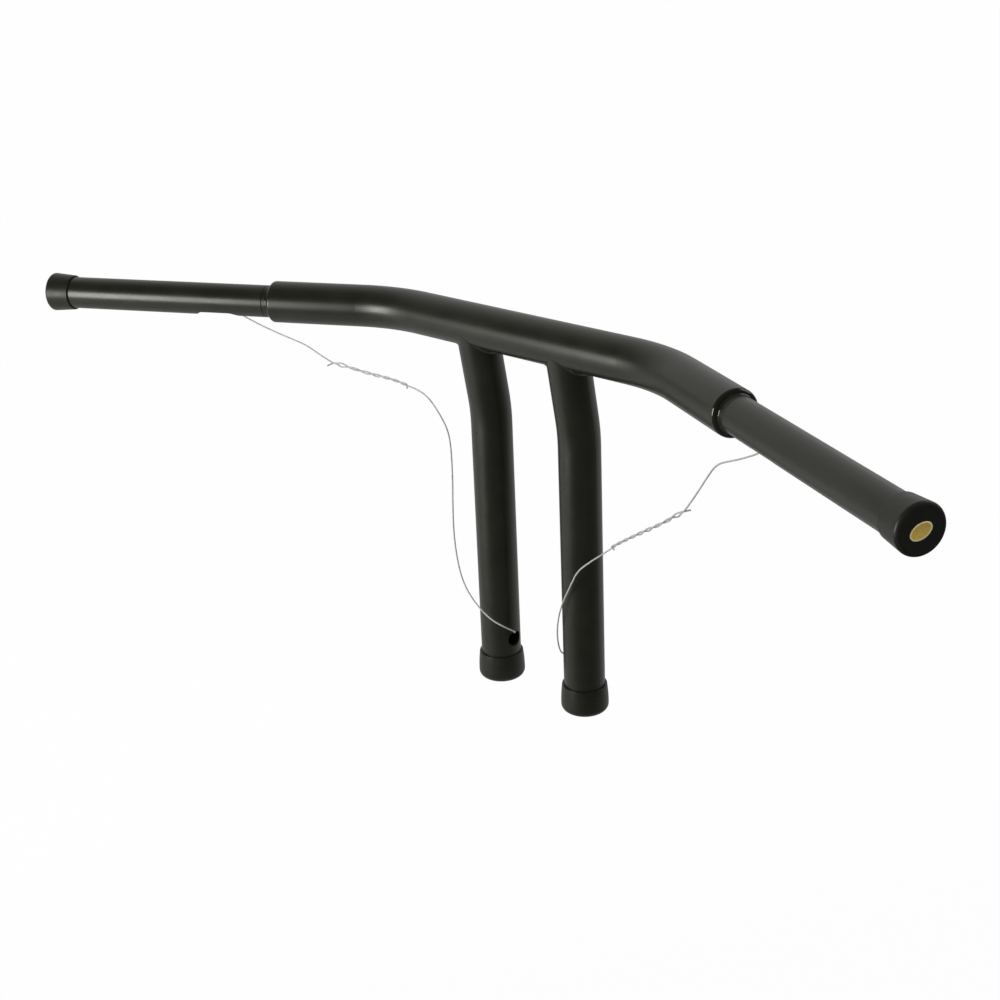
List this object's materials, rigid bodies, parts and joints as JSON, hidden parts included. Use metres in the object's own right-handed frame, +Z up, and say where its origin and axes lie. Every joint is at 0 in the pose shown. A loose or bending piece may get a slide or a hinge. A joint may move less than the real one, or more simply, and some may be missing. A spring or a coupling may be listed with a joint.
{
  "type": "motorcycle handlebar",
  "caption": "Black tubular motorcycle handlebar: swept grips in a bent crossbar on welded, leaning, threaded risers, with push-on end caps and pull wires for hidden wiring.",
  "frame": {"origin": "midway between the two riser seats, on the plane that the risers are bolted to", "axes": "+X to the rider's right, +Y forwards, +Z up; the grips sweep back towards -Y"},
  "size_m": [0.8194, 0.178, 0.312],
  "materials": {
    "bar_paint": "satin black coat",
    "bung_steel": "turned",
    "cap_vinyl": "satin moulded vinyl",
    "sticker_foil": "gold foil",
    "pull_wire": "galvanised"
  },
  "bodies": {
    "bar": {"crossbar_tube": "bar_paint", "left_grip_tube": "bar_paint", "left_riser_tube": "bar_paint", "left_riser_weld": "bar_paint", "left_riser_bung": "bung_steel", "left_pull_wire_inner": "pull_wire", "left_pull_wire_upper": "pull_wire", "left_pull_wire_twist": "pull_wire", "left_pull_wire_lower": "pull_wire", "right_grip_tube": "bar_paint", "right_riser_tube": "bar_paint", "right_riser_weld": "bar_paint", "right_riser_bung": "bung_steel", "right_pull_wire_inner": "pull_wire", "right_pull_wire_upper": "pull_wire", "right_pull_wire_twist": "pull_wire", "right_pull_wire_lower": "pull_wire"},
    "left_grip_cap": {"left_grip_cap": "cap_vinyl"},
    "left_riser_cap": {"left_riser_cap": "cap_vinyl"},
    "right_grip_cap": {"right_grip_cap": "cap_vinyl", "right_grip_cap_sticker": "sticker_foil"},
    "right_riser_cap": {"right_riser_cap": "cap_vinyl"}
  },
  "joints": [
    {"name": "left_grip_cap_pull", "type": "slide", "parent": "bar", "child": "left_grip_cap", "axis": [-0.8965, -0.4431, 0], "range_m": [0, 0.08]},
    {"name": "left_riser_cap_pull", "type": "slide", "parent": "bar", "child": "left_riser_cap", "axis": [0, 0, -1], "range_m": [0, 0.08]},
    {"name": "right_grip_cap_pull", "type": "slide", "parent": "bar", "child": "right_grip_cap", "axis": [0.8965, -0.4431, 0], "range_m": [0, 0.08]},
    {"name": "right_riser_cap_pull", "type": "slide", "parent": "bar", "child": "right_riser_cap", "axis": [0, 0, -1], "range_m": [0, 0.08]}
  ]
}
